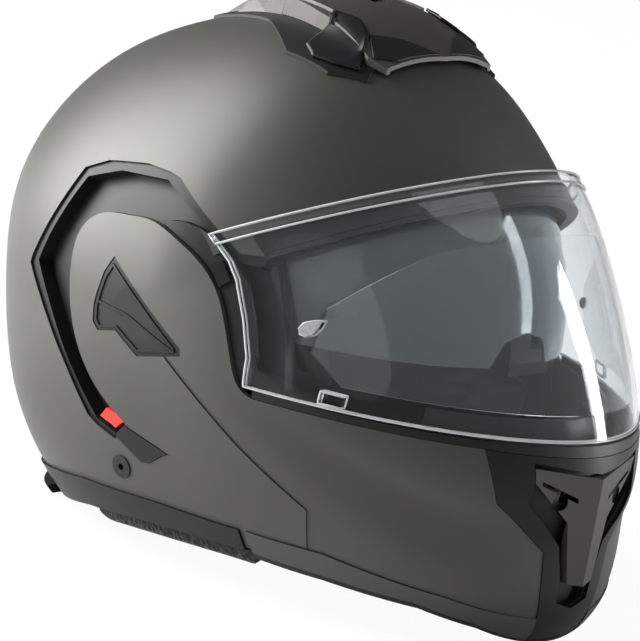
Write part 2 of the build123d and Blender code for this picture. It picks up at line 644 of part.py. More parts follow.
# Visor: lens, thick top edge, carrier arms, anti-fog insert with pins and release tabs
arm_near = 2.2
arm_wall = 2.4
arm_disc_radius = 60.0
arm_disc_rise = 1.0
arm_disc_top = plate_face + arm_disc_rise
arm_cup_rim = 3.0
arm_cup_radius = plate_radius + arm_cup_rim
arm_cup_gap = 0.6
arm_cup_wall = 1.6
arm_cup_floor = plate_face + 2 * move_gap + hub_flange_wall
arm_cup_top = arm_cup_floor + arm_cup_wall
tab_sink = 0.8
tab_reach = 5.4
tab_clear = 0.6
tab_travel = 3.0
visor_outside = visor_hull()
visor_inside = visor_hull(lens_wall)
edge_proud = 0.7
lens_tab_proud = 3.0
visor_region = side_prism(visor_line_shares)
with BuildPart() as visor_lens:
    add(layer(visor_outside, visor_inside, visor_region))
    for band_shares in visor_ridge_shares:
        add(layer(visor_hull(-edge_proud), visor_inside, side_prism(band_shares), visor_region))
    add(layer(visor_hull(-lens_tab_proud), visor_inside, side_prism(lens_tab_shares)))
    add(side_prism(pin_shares, grow=fit_gap), mode=Mode.SUBTRACT)
keep_piece(visor_lens.part, "visor_lens")
with BuildPart() as arm_disc:
    add(swing_rod(arm_disc_radius, arm_disc_top - arm_wall, arm_disc_top))
    add(side_prism(arm_line_shares, both_sides=False), mode=Mode.INTERSECT)
    add(swing_rod(arm_cup_radius, arm_disc_top - arm_wall, arm_cup_top))
    add(swing_rod(plate_radius + arm_cup_gap, plate_face - overrun, arm_cup_floor), mode=Mode.SUBTRACT)
    add(swing_rod(hub_boss_radius + running_gap, plate_face, cover_half_width), mode=Mode.SUBTRACT)
with BuildPart() as visor_arm:
    add(layer(cover_hull(arm_near), cover_hull(arm_near + arm_wall),
              side_prism(arm_line_shares, both_sides=False)))
    add(chin_region_near, mode=Mode.SUBTRACT)
    add(arm_disc.part.solids().sort_by(Axis.X)[-1])
    add(layer(visor_hull(-lens_tab_proud), visor_hull(lens_wall + fit_gap),
              side_prism(visor_line_shares, grow=fit_gap, both_sides=False)), mode=Mode.SUBTRACT)
    add(layer(cover_hull(0), cover_hull(arm_near),
              side_prism(tab_shares, grow=tab_travel + move_gap, both_sides=False)), mode=Mode.SUBTRACT)
    add(side_prism(tab_slot_shares, both_sides=False), mode=Mode.SUBTRACT)
keep_mirrored(visor_arm.part, "visor_arm")
with BuildPart() as visor_release_tab:
    add(layer(cover_hull(tab_sink), cover_hull(arm_near - tab_clear),
              side_prism(tab_shares, both_sides=False)))
    add(layer(cover_hull(arm_near - 2 * tab_clear), cover_hull(tab_reach),
              side_prism(tab_stem_shares, both_sides=False)))
keep_mirrored(visor_release_tab.part, "visor_release_tab")
insert_gap = 0.2
insert_wall = 1.2
with BuildPart() as pinlock_insert:
    add(layer(visor_hull(lens_wall + insert_gap), visor_hull(lens_wall + insert_gap + insert_wall),
              side_prism(insert_shares)))
keep_piece(pinlock_insert.part, "pinlock_insert")
with BuildPart() as insert_pins:
    add(layer(visor_hull(-edge_proud), visor_hull(lens_wall + insert_gap / 2), side_prism(pin_shares)))
keep_piece(insert_pins.part, "insert_pins")

# Rim trim: a soft band round the lower edge of the shell with a lip at the nape
trim_proud = 1.2
trim_depth = 9.0
lip_proud = 5.0
with BuildPart() as rim_trim:
    add(layer(shell_hull(-trim_proud), shell_hull(trim_depth),
              side_prism(rim_top_shares + rim_bottom_shares, grow=-fit_gap)))
    add(layer(shell_hull(-lip_proud), shell_hull(trim_depth), side_prism(rear_lip_shares)))
    add(face_opening, mode=Mode.SUBTRACT)
keep_piece(rim_trim.part, "rim_trim")

# Eye port seal: a soft edge that steps down from the brow onto the recess panels
seal_proud = 0.8
seal_depth = 5.0
seal_low_near = 6.5
seal_low_far = 11.5
seal_width = 2.6
seal_corner = 6.0
seal_ring = layer(side_prism(face_opening_shares, corner_radius=seal_corner, grow=-fit_gap),
                  side_prism(face_opening_shares, corner_radius=seal_corner - 2, grow=-seal_width))
with BuildPart() as eyeport_seal:
    add(layer(shell_hull(-seal_proud), shell_hull(seal_depth), seal_ring, side_prism(seal_high_shares)))
    add(layer(shell_hull(seal_low_near), shell_hull(seal_low_far), seal_ring, side_prism(seal_low_shares)))
    add(layer(shell_hull(-seal_proud), shell_hull(seal_low_far), seal_ring, side_prism(seal_step_shares)))
keep_piece(eyeport_seal.part, "eyeport_seal")

# Brow band: a thin dark strip on the shell, under the visor's upper edge
band_proud = 0.6
band_gap = 0.05
with BuildPart() as brow_band:
    add(layer(shell_hull(-band_proud), shell_hull(-band_gap), side_prism(brow_band_shares)))
    add(side_prism(face_opening_shares, corner_radius=opening_corner, grow=fit_gap), mode=Mode.SUBTRACT)
keep_piece(brow_band.part, "brow_band")

# Lock covers, side plugs and sliding lock levers beside the recess panels
with BuildPart() as lock_covers:
    add(layer(shell_hull(-trim_proud / 2), shell_inside, side_prism(lock_cover_shares, grow=-fit_gap)))
    add(chin_region_near, mode=Mode.SUBTRACT)
    add(recess_region, mode=Mode.SUBTRACT)
keep_pair(lock_covers.part, "lock_cover")
plug_rim_radius = 5.6
plug_bore_radius = 1.6
with BuildPart() as side_plugs:
    with BuildSketch(Plane.YZ):
        with Locations(plug_place):
            Circle(plug_rim_radius)
    extrude(amount=cover_half_width, both=True)
    add(shell_hull(-trim_proud / 2), mode=Mode.INTERSECT)
    add(shell_hull(-fit_gap / 2), mode=Mode.SUBTRACT)
    with BuildSketch(Plane.YZ):
        with Locations(plug_place):
            Circle(plug_radius - fit_gap)
    extrude(amount=cover_half_width, both=True)
    add(shell_hull(-trim_proud / 2), mode=Mode.INTERSECT)
    with BuildSketch(Plane.YZ):
        with Locations(plug_place):
            Circle(plug_bore_radius)
    extrude(amount=cover_half_width, both=True, mode=Mode.SUBTRACT)
    add(shell_inside, mode=Mode.SUBTRACT)
keep_piece(side_plugs.part, "side_plugs")
lever_sink = 0.6
lever_wall = 4.4
lever_clear = 0.3
with BuildPart() as lock_lever:
    add(layer(shell_hull(lever_sink), shell_hull(lever_sink + lever_wall),
              side_prism(lever_shares, both_sides=False)))
    add(layer(shell_hull(lever_sink), shell_hull(recess_depth - lever_clear),
              side_prism(lever_stem_shares, both_sides=False)))
keep_mirrored(lock_lever.part, "lock_lever")

# Crown vent: base plate, scoop with an open mouth, and a slider on top
base_wall = 1.6
scoop_wall = 1.8
vent_half_width = shell_half_width
with BuildPart() as top_vent_base:
    add(layer(shell_hull(-base_wall), shell_hull(-fit_gap), plan_prism(vent_base_shares)))
    add(plan_prism(vent_channel_shares), mode=Mode.SUBTRACT)
keep_piece(top_vent_base.part, "top_vent_base")
vent_outside = hull(vent_outline_shares, vent_half_width, shell_fullness)
vent_inside = hull(vent_outline_shares, vent_half_width, shell_fullness, scoop_wall)
slider_rise = 1.6
with BuildPart() as top_vent_scoop:
    add(layer(vent_outside, shell_hull(-base_wall - fit_gap), plan_prism(vent_scoop_shares)))
    add(layer(vent_inside, shell_hull(overrun), plan_prism(vent_channel_shares)), mode=Mode.SUBTRACT)
    add(plan_prism(vent_slot_shares), mode=Mode.SUBTRACT)
keep_piece(top_vent_scoop.part, "top_vent_scoop")
with BuildPart() as top_vent_slider:
    add(layer(hull(vent_outline_shares, vent_half_width, shell_fullness, -slider_rise),
              hull(vent_outline_shares, vent_half_width, shell_fullness, -tab_clear),
              plan_prism(vent_slider_shares)))
    add(layer(hull(vent_outline_shares, vent_half_width, shell_fullness, -2 * tab_clear),
              hull(vent_outline_shares, vent_half_width, shell_fullness, scoop_wall + tab_clear),
              plan_prism(vent_stem_shares)))
keep_piece(top_vent_slider.part, "top_vent_slider")

# Rear outlet: a raised frame with two slots
outlet_proud = 4.0
with BuildPart() as rear_exhaust:
    add(layer(shell_hull(-outlet_proud), shell_hull(-fit_gap), end_prism(exhaust_half_shares, ahead=False)))
    for side in (-1, 1):
        slot_points = [(side * cover_half_width * across, side_point(0, rise)[1])
                       for across, rise in exhaust_slot_shares]
        with BuildSketch(Plane.XZ.offset(-ear_y - rear_reach / 2)):
            with BuildLine():
                Polyline(*slot_points, close=True)
            make_face()
        extrude(amount=-rear_reach, mode=Mode.SUBTRACT)
keep_piece(rear_exhaust.part, "rear_exhaust")

# Sun visor: a curved shade that swings about its own hubs, up into a slot in the foam
sun_front_room = 60.0
sun_side_room = 18.5
sun_radius = front_reach - sun_front_room
sun_half_width = shell_half_width - sun_side_room
sun_wall = 2.0
sun_ahead_share, sun_rise_share = 0.034, 0.015
sun_slot_over = 1.5
sun_slot_under = 3.5
sun_slot_arc = 112.0
sun_slot_below = 14.0
sun_y, sun_z = side_point(sun_ahead_share, sun_rise_share)
sun_hub_radius = 9.0
sun_pin_radius = 4.0
sun_hub_wall = 3.0


def sun_body(inset):
    """A round-backed body about the sun visor's own axis."""
    with BuildPart() as body:
        with BuildSketch(Plane.XY):
            with BuildLine():
                EllipticalCenterArc((0, 0), sun_half_width - inset, sun_radius - inset,
                                    start_angle=0, arc_size=180)
                Line((-sun_half_width + inset, 0), (sun_half_width - inset, 0))
            make_face()
        revolve(axis=Axis.X)
    return body.part.moved(Location((0, sun_y, sun_z)))


def sun_rod(radius, near_x, far_x):
    """A pair of discs on the sun visor's axis."""
    with BuildPart() as rods:
        with BuildSketch(Plane.YZ.offset(near_x)):
            with Locations((sun_y, sun_z)):
                Circle(radius)
        extrude(amount=far_x - near_x)
        mirror(about=Plane.YZ)
    return rods.part


def sun_slot():
    """The room that the sun visor needs on its way up: a crescent turned about the same axis."""
    outer_x, outer_y = sun_half_width + sun_slot_over, sun_radius + sun_slot_over
    inner_x, inner_y = sun_half_width - sun_slot_under, sun_radius - sun_slot_under
    with BuildPart() as room:
        with BuildSketch(Plane.XY):
            with BuildLine():
                EllipticalCenterArc((0, 0), outer_x, outer_y, start_angle=180, arc_size=180)
                Line((outer_x, 0), (inner_x, 0))
                EllipticalCenterArc((0, 0), inner_x, inner_y, start_angle=180, arc_size=180)
                Line((-inner_x, 0), (-outer_x, 0))
            make_face()
        revolve(axis=Axis((0, 0, 0), (-1, 0, 0)), revolution_arc=sun_slot_arc)
    return room.part.rotate(Axis.X, sun_slot_below).moved(Location((0, sun_y, sun_z)))


nose_half_shares = [(0.000, 0.120), (0.110, 0.090), (0.185, -0.040), (0.000, -0.040)]
sun_hub_near = sun_half_width - sun_hub_wall
with BuildPart() as sun_visor:
    add(layer(sun_body(0), sun_body(sun_wall), side_prism(sun_line_shares)))
    add(layer(sun_body(0), sun_body(sun_wall), side_prism(sun_arm_shares)))
    add(sun_rod(sun_hub_radius, sun_hub_near, sun_half_width))
    add(end_prism(nose_half_shares), mode=Mode.SUBTRACT)
    add(sun_rod(sun_pin_radius + running_gap, sun_hub_near - sun_hub_wall, sun_half_width + sun_hub_wall),
        mode=Mode.SUBTRACT)
keep_piece(sun_visor.part, "sun_visor")
sun_flange_radius = 8.0
with BuildPart() as sun_visor_hubs:
    add(sun_rod(sun_pin_radius, sun_hub_near - sun_wall, sun_half_width + overrun))
    add(sun_rod(sun_flange_radius, sun_half_width + move_gap, sun_half_width + overrun))
    add(shell_hull(recess_depth + panel_wall + fit_gap / 3), mode=Mode.INTERSECT)
keep_piece(sun_visor_hubs.part, "sun_visor_hubs")

# Impact foam: fills the shell down to the wearer's head, with a slot for the sun visor
foam_gap = 0.5
foam_side_wall = 37.5
cavity_half_width = shell_half_width - foam_side_wall
cavity_fullness = (2.1, 2.2, 2.1, 2.6)
hub_pocket_radius = 52.0
with BuildPart() as eps_liner:
    add(shell_hull(shell_wall + foam_gap))
    add(side_prism(foam_shares), mode=Mode.INTERSECT)
    add(side_prism(face_opening_shares, grow=foam_gap), mode=Mode.SUBTRACT)
    add(hull(cavity_outline_shares, cavity_half_width, cavity_fullness), mode=Mode.SUBTRACT)
    add(layer(shell_outside, shell_hull(recess_depth + panel_wall + foam_gap),
              side_prism(recess_line_shares, grow=panel_wall)), mode=Mode.SUBTRACT)
    add(sun_slot(), mode=Mode.SUBTRACT)
    add(sun_rod(hub_pocket_radius, sun_hub_near - sun_wall - foam_gap, sun_half_width + overrun),
        mode=Mode.SUBTRACT)
keep_piece(eps_liner.part, "eps_liner")

# Soft lining: crown pad, cheek pads and neck roll
lining_gap = 0.2
crown_pad_wall = 8.0
cheek_near = 11.2
cheek_depth = 26.0
cheek_half_width = cavity_half_width - cheek_depth
neck_near = 9.6
neck_far = 24.0
with BuildPart() as crown_pad:
    add(layer(hull(cavity_outline_shares, cavity_half_width, cavity_fullness, lining_gap),
              hull(cavity_outline_shares, cavity_half_width, cavity_fullness, crown_pad_wall),
              side_prism(crown_shares)))
keep_piece(crown_pad.part, "crown_pad")
strap_wall = 2.0
strap_room = 1.2


def strap_path(path_shares, wall, depth):
    """A flat strap whose middle line is drawn in shares on the front view, on the wearer's left."""
    line = [(cover_half_width * across, side_point(0, rise)[1]) for across, rise in path_shares]
    outer_side, inner_side = [], []
    for k, (x, z) in enumerate(line):
        before, after = line[max(k - 1, 0)], line[min(k + 1, len(line) - 1)]
        along, up = after[0] - before[0], after[1] - before[1]
        length = hypot(along, up)
        outer_side.append((x - up / length * wall / 2, z + along / length * wall / 2))
        inner_side.append((x + up / length * wall / 2, z - along / length * wall / 2))
    with BuildPart() as strap:
        with BuildSketch(Plane.XZ.offset(-strap_y)):
            with BuildLine():
                Spline(*outer_side)
                Line(outer_side[-1], inner_side[-1])
                Spline(*reversed(inner_side))
                Line(inner_side[0], outer_side[0])
            make_face()
        extrude(amount=depth / 2, both=True)
    return strap.part


strap_ahead_share = -0.110
strap_y = side_point(strap_ahead_share, 0)[0]
strap_width = 25.0
strap_shares = [
    (0.820, -0.627), (0.770, -0.729), (0.688, -0.839), (0.622, -0.898), (0.540, -0.945), (0.490, -0.963),
]
long_strap_shares = strap_shares[:-1] + [(0.300, -0.963), (0.000, -0.963), (-0.157, -0.963)]
with BuildPart() as chin_straps:
    add(strap_path(strap_shares, strap_wall, strap_width))
    add(mirror(strap_path(long_strap_shares, strap_wall, strap_width), about=Plane.YZ))
keep_pair(chin_straps.part, "chin_strap")
with BuildPart() as strap_anchors:
    add(layer(shell_hull(shell_wall + fit_gap / 2), shell_hull(shell_wall + 2 * strap_wall),
              side_prism(anchor_shares)))
    add(strap_path(strap_shares, strap_wall + fit_gap, strap_width + overrun), mode=Mode.SUBTRACT)
    add(mirror(strap_path(strap_shares, strap_wall + fit_gap, strap_width + overrun), about=Plane.YZ),
        mode=Mode.SUBTRACT)
keep_piece(strap_anchors.part, "strap_anchors")
with BuildPart() as cheek_pads:
    add(layer(shell_hull(cheek_near), hull(cavity_outline_shares, cheek_half_width, cavity_fullness),
              side_prism(cheek_shares)))
    add(strap_path(long_strap_shares, strap_wall + 2 * strap_room, strap_width + 2 * strap_room),
        mode=Mode.SUBTRACT)
    add(mirror(strap_path(long_strap_shares, strap_wall + 2 * strap_room, strap_width + 2 * strap_room),
               about=Plane.YZ), mode=Mode.SUBTRACT)
keep_pair(cheek_pads.part, "cheek_pad")
with BuildPart() as neck_roll:
    add(layer(shell_hull(neck_near), shell_hull(neck_far), side_prism(neck_shares)))
keep_piece(neck_roll.part, "neck_roll")
with BuildPart() as chin_curtain:
    add(layer(cover_hull(foam_near + cover_wall), cover_hull(foam_near + 2 * cover_wall),
              side_prism(curtain_shares)))
keep_piece(chin_curtain.part, "chin_curtain")
guard_near = 15.6
guard_wall = 2.0
with BuildPart() as breath_guard:
    add(layer(cover_hull(guard_near), cover_hull(guard_near + guard_wall), side_prism(guard_shares)))
keep_piece(breath_guard.part, "breath_guard")

# Chin bar latch: pins carried by the shell, and open jaws on the chin bar that drop over them
striker_near = 7.3
striker_far = 14.0
striker_arm_sink = 27.5
striker_arm_wall = 3.0
striker_arm_near = shell_half_width - striker_arm_sink
striker_arm_far = striker_arm_near + striker_arm_wall
striker_pin_radius = 3.0
jaw_wall = 4.5
jaw_gap = 1.5
jaw_far = striker_arm_near - jaw_gap
jaw_near = jaw_far - jaw_wall
with BuildPart() as lock_striker:
    add(layer(shell_hull(striker_near), shell_hull(striker_far),
              side_prism(striker_base_shares, both_sides=False)))
    with BuildSketch(Plane.YZ.offset(striker_arm_near)):
        with BuildLine():
            Polyline(*[side_point(*share) for share in striker_arm_shares], close=True)
        make_face()
    extrude(amount=striker_arm_far - striker_arm_near)
    add(shell_hull(striker_near), mode=Mode.INTERSECT)
    with BuildSketch(Plane.YZ.offset(jaw_near)):
        with Locations(side_point(*striker_pin_share)):
            Circle(striker_pin_radius)
    extrude(amount=striker_arm_near - jaw_near)
keep_mirrored(lock_striker.part, "lock_striker")
with BuildPart() as latch_jaw:
    with BuildSketch(Plane.YZ.offset(jaw_near)):
        with BuildLine():
            Polyline(*[side_point(*share) for share in jaw_shares], close=True)
        make_face()
        with Locations(side_point(*striker_pin_share)):
            Circle(striker_pin_radius + move_gap, mode=Mode.SUBTRACT)
    extrude(amount=jaw_far - jaw_near)
    with BuildSketch(Plane.YZ.offset(jaw_near)):
        with BuildLine():
            Polyline(*[side_point(*share) for share in jaw_root_shares], close=True)
        make_face()
    extrude(amount=overrun)
    add(cover_hull(cover_wall + fit_gap), mode=Mode.INTERSECT)
keep_mirrored(latch_jaw.part, "latch_jaw")

# Release button: slides in a small open-bottomed housing at the middle of the chin
housing_width, housing_length, housing_height = 30.0, 26.0, 10.0
housing_wall = 2.0
housing_mouth = 18.0
button_width, button_length, button_height = 24.0, 15.0, 6.0
housing_ahead_share, housing_drop_share = 0.800, -0.905
housing_y, housing_z = side_point(housing_ahead_share, housing_drop_share)
with BuildPart() as release_housing:
    with Locations((0, housing_y, housing_z)):
        Box(housing_width, housing_length, housing_height)
        Box(housing_width - 2 * housing_wall, housing_length - 2 * housing_wall,
            housing_height - housing_wall, mode=Mode.SUBTRACT,
            align=(Align.CENTER, Align.CENTER, Align.CENTER))
    with Locations((0, housing_y, housing_z - housing_height / 2)):
        Box(housing_mouth, housing_mouth, housing_height, mode=Mode.SUBTRACT)
keep_piece(release_housing.part, "release_housing")
button_y = housing_y + (housing_length - button_length) / 2 - housing_wall - tab_clear
grip_width, grip_length, grip_height = 14.0, 8.0, 5.0
with BuildPart() as release_button:
    with Locations((0, button_y, housing_z)):
        Box(button_width, button_length, button_height)
    with Locations((0, button_y, housing_z - grip_height)):
        Box(grip_width, grip_length, grip_height)
keep_piece(release_button.part, "release_button")

# Sun visor slider: a thumb piece on the lower left of the shell
thumb_proud = 2.4
thumb_clear = 0.35
thumb_reach = 5.2
with BuildPart() as sun_visor_slider:
    add(layer(shell_hull(-thumb_proud), shell_hull(-thumb_clear),
              side_prism(sun_slider_shares, both_sides=False)))
    add(layer(shell_hull(-thumb_clear * 2), shell_hull(thumb_reach),
              side_prism(sun_stem_shares, both_sides=False)))
keep_piece(sun_visor_slider.part, "sun_visor_slider")

# Strap buckle: a channel on the short strap, a toothed tongue on the long strap and a sprung lever
buckle_near, buckle_far = 26.0, 65.0
buckle_half_depth = 14.5
buckle_low, buckle_floor_top, buckle_top = 1.6, 3.2, 13.5
buckle_side = 1.6
tongue_wall = 1.8
tongue_end = 54.0
tongue_half_depth = 8.5
lever_axis_x, lever_axis_z = 60.0, 10.0
lever_pin_radius = 1.5
tooth_pitch = 3.0
tooth_height = 0.8
tooth_count = 8
tooth_land_share = 0.9
lever_near, lever_low, lever_top = 30.0, 8.9, 11.1
lever_half_depth = 12.0
lever_hub_radius = 3.2
pawl_near, pawl_far, pawl_low = 44.0, 47.0, 6.5
strap_end_x = 20.2
tongue_low = 3.5
tongue_top = tongue_low + tongue_wall
buckle_length = buckle_far - buckle_near
buckle_middle = (buckle_near + buckle_far) / 2
with BuildPart() as buckle_body:
    with Locations((buckle_middle, strap_y, (buckle_low + buckle_top) / 2)):
        Box(buckle_length, 2 * buckle_half_depth, buckle_top - buckle_low)
    with Locations((buckle_middle, strap_y, (buckle_floor_top + buckle_top) / 2 + buckle_side)):
        Box(buckle_length + overrun, 2 * (buckle_half_depth - buckle_side),
            buckle_top - buckle_floor_top + 2 * buckle_side, mode=Mode.SUBTRACT)
    with BuildSketch(Plane.XZ.offset(-strap_y)):
        with Locations((lever_axis_x, lever_axis_z)):
            Circle(lever_pin_radius)
    extrude(amount=buckle_half_depth, both=True)
keep_piece(buckle_body.part, "buckle_body")
with BuildPart() as buckle_tongue:
    with Locations(((strap_end_x + tongue_end) / 2, strap_y, tongue_low + tongue_wall / 2)):
        Box(tongue_end - strap_end_x, 2 * tongue_half_depth, tongue_wall)
    for tooth in range(tooth_count):
        tooth_x = tongue_end - tooth_pitch * (tooth + 1)
        with BuildSketch(Plane.XZ.offset(-strap_y)):
            with BuildLine():
                Polyline((tooth_x, tongue_top), (tooth_x, tongue_top + tooth_height),
                         (tooth_x + tooth_pitch * tooth_land_share, tongue_top), close=True)
            make_face()
        extrude(amount=tongue_half_depth, both=True)
keep_piece(buckle_tongue.part, "buckle_tongue")
with BuildPart() as buckle_lever:
    with Locations(((lever_near + lever_axis_x) / 2, strap_y, (lever_low + lever_top) / 2)):
        Box(lever_axis_x - lever_near, 2 * lever_half_depth, lever_top - lever_low)
    with BuildSketch(Plane.XZ.offset(-strap_y)):
        with Locations((lever_axis_x, lever_axis_z)):
            Circle(lever_hub_radius)
    extrude(amount=lever_half_depth, both=True)
    with Locations(((pawl_near + pawl_far) / 2, strap_y, (pawl_low + lever_top) / 2)):
        Box(pawl_far - pawl_near, 2 * tongue_half_depth, lever_top - pawl_low)
    with BuildSketch(Plane.XZ.offset(-strap_y)):
        with Locations((lever_axis_x, lever_axis_z)):
            Circle(lever_pin_radius + running_gap)
    extrude(amount=buckle_half_depth, both=True, mode=Mode.SUBTRACT)
keep_piece(buckle_lever.part, "buckle_lever")
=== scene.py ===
import json
import math

import bmesh
import bpy
from mathutils import Matrix, Vector
from mathutils.bvhtree import BVHTree


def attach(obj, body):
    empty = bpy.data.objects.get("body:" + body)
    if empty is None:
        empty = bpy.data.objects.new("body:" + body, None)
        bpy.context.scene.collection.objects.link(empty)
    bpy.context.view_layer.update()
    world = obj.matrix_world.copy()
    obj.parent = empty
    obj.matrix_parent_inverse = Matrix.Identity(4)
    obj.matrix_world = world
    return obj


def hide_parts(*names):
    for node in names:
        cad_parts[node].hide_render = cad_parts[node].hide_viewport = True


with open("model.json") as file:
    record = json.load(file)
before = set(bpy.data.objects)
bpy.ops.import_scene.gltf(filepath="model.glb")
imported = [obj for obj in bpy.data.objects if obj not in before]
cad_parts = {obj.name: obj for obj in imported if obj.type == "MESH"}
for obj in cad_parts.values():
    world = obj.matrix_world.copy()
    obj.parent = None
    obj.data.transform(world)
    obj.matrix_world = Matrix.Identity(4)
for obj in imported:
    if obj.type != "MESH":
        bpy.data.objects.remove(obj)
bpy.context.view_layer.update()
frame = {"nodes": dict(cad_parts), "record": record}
nodes = frame["nodes"]

# The ear axis, in metres, and the camera's turn, rise, distance and framing
EAR_AXIS = Vector((0.0, 0.009, 0.118))
RIDING_PITCH = math.radians(13.0)
VIEW_TURN = math.radians(-50.0)
VIEW_RISE = math.radians(4.3)
VIEW_DISTANCE = 2.2
FOCAL_PIXELS = 4664.0
SENSOR_WIDTH = 36.0
CLIP_END = 50.0
PHOTO_WIDTH, PHOTO_HEIGHT = 640, 641
AIM_PIXEL = (318.0, 293.0)


# ---- Materials ----

# Between which values of a texture its two colours blend
RAMP_LOW, RAMP_HIGH = 0.3, 0.7


class Paint:
    """A node material with one Principled shader, whose colour, roughness and bump textures may drive."""

    def __init__(self, name, color, roughness=0.5, metallic=0.0, **sockets):
        self.material = bpy.data.materials.new(name)
        self.material.use_nodes = True
        self.tree = self.material.node_tree
        self.shader = self.tree.nodes["Principled BSDF"]
        self.shader.inputs["Base Color"].default_value = (*color, 1.0)
        self.shader.inputs["Roughness"].default_value = roughness
        self.shader.inputs["Metallic"].default_value = metallic
        for socket, value in sockets.items():
            self.shader.inputs[socket.replace("_", " ")].default_value = value
        self.place = self.tree.nodes.new("ShaderNodeTexCoord")
        self.bump = None

    def texture(self, kind, scale, **values):
        node = self.tree.nodes.new(kind)
        self.tree.links.new(self.place.outputs["Object"], node.inputs["Vector"])
        node.inputs["Scale"].default_value = scale
        for socket, value in values.items():
            node.inputs[socket.replace("_", " ")].default_value = value
        return node

    def color_from(self, source, low, high):
        node = self.tree.nodes.new("ShaderNodeValToRGB")
        self.tree.links.new(source, node.inputs["Fac"])
        ends = node.color_ramp.elements
        ends[0].position, ends[1].position = RAMP_LOW, RAMP_HIGH
        ends[0].color, ends[1].color = (*low, 1.0), (*high, 1.0)
        self.tree.links.new(node.outputs["Color"], self.shader.inputs["Base Color"])

    def roughness_from(self, source, low, high):
        span = self.tree.nodes.new("ShaderNodeMapRange")
        span.inputs["To Min"].default_value = low
        span.inputs["To Max"].default_value = high
        self.tree.links.new(source, span.inputs["Value"])
        self.tree.links.new(span.outputs["Result"], self.shader.inputs["Roughness"])

    def bump_from(self, source, strength, distance):
        node = self.tree.nodes.new("ShaderNodeBump")
        node.inputs["Strength"].default_value = strength
        node.inputs["Distance"].default_value = distance
        self.tree.links.new(source, node.inputs["Height"])
        if self.bump:
            self.tree.links.new(self.bump.outputs["Normal"], node.inputs["Normal"])
        self.tree.links.new(node.outputs["Normal"], self.shader.inputs["Normal"])
        self.bump = node


def satin_paint():
    paint = Paint("satin_titanium_paint", (0.083, 0.081, 0.074), 0.50, 0.5,
                  Coat_Weight=0.15, Coat_Roughness=0.42)
    cloud = paint.texture("ShaderNodeTexNoise", 9.0, Detail=2.0)
    paint.color_from(cloud.outputs["Fac"], (0.057, 0.056, 0.051), (0.066, 0.065, 0.059))
    flake = paint.texture("ShaderNodeTexNoise", 2600.0, Detail=1.0)
    paint.roughness_from(flake.outputs["Fac"], 0.47, 0.54)
    paint.bump_from(flake.outputs["Fac"], 0.04, 0.0002)
    return paint.material


def grained_plastic(name, color, roughness):
    paint = Paint(name, color, roughness, Specular_IOR_Level=0.25)
    grain = paint.texture("ShaderNodeTexNoise", 2400.0, Detail=2.0)
    paint.bump_from(grain.outputs["Fac"], 0.05, 0.0001)
    paint.roughness_from(grain.outputs["Fac"], roughness - 0.06, roughness + 0.06)
    return paint.material


def satin_vent_plastic():
    paint = Paint("satin_brown_grey", (0.055, 0.051, 0.046), 0.46, 0.35)
    grain = paint.texture("ShaderNodeTexNoise", 2200.0, Detail=1.0)
    paint.roughness_from(grain.outputs["Fac"], 0.42, 0.50)
    paint.bump_from(grain.outputs["Fac"], 0.03, 0.0002)
    return paint.material


def soft_rubber():
    paint = Paint("soft_rubber", (0.006, 0.006, 0.0065), 0.50, Specular_IOR_Level=0.35)
    grain = paint.texture("ShaderNodeTexNoise", 900.0, Detail=2.0)
    paint.bump_from(grain.outputs["Fac"], 0.03, 0.0001)
    return paint.material


def red_plastic():
    paint = Paint("red_plastic", (0.80, 0.018, 0.008), 0.32)
    grain = paint.texture("ShaderNodeTexNoise", 1200.0, Detail=1.0)
    paint.roughness_from(grain.outputs["Fac"], 0.28, 0.36)
    return paint.material


def clear_lens():
    paint = Paint("clear_polycarbonate", (0.93, 0.95, 0.96), 0.02, IOR=1.30, Transmission_Weight=1.0)
    haze = paint.texture("ShaderNodeTexNoise", 14.0, Detail=1.0)
    paint.roughness_from(haze.outputs["Fac"], 0.01, 0.03)
    return paint.material


# Pale, half-clear finish for the tubes along the visor's edges: a painted highlight where the cut edges
# catch the light.
def lit_edge():
    paint = Paint("painted_edge_highlight", (0.78, 0.80, 0.81), 0.22, Transmission_Weight=0.45)
    haze = paint.texture("ShaderNodeTexNoise", 60.0, Detail=1.0)
    paint.roughness_from(haze.outputs["Fac"], 0.16, 0.30)
    return paint.material


def tinted_lens():
    paint = Paint("smoke_tint", (0.30, 0.36, 0.40), 0.03, IOR=1.35, Transmission_Weight=0.82)
    haze = paint.texture("ShaderNodeTexNoise", 10.0, Detail=1.0)
    paint.roughness_from(haze.outputs["Fac"], 0.02, 0.05)
    return paint.material


def pale_plastic():
    paint = Paint("pale_translucent_plastic", (0.40, 0.41, 0.43), 0.34, Transmission_Weight=0.1)
    grain = paint.texture("ShaderNodeTexNoise", 700.0, Detail=1.0)
    paint.roughness_from(grain.outputs["Fac"], 0.24, 0.32)
    return paint.material


def bead_foam():
    paint = Paint("bead_foam", (0.035, 0.035, 0.036), 0.85)
    beads = paint.texture("ShaderNodeTexVoronoi", 320.0)
    paint.bump_from(beads.outputs["Distance"], 0.12, 0.0002)
    paint.color_from(beads.outputs["Distance"], (0.010, 0.010, 0.010), (0.015, 0.015, 0.016))
    return paint.material


def smooth_lining():
    paint = Paint("smooth_lining_fabric", (0.008, 0.008, 0.009), 0.95, Sheen_Weight=0.1, Sheen_Roughness=0.5)
    knit = paint.texture("ShaderNodeTexVoronoi", 900.0)
    paint.color_from(knit.outputs["Distance"], (0.005, 0.005, 0.006), (0.012, 0.012, 0.013))
    paint.bump_from(knit.outputs["Distance"], 0.3, 0.0003)
    return paint.material


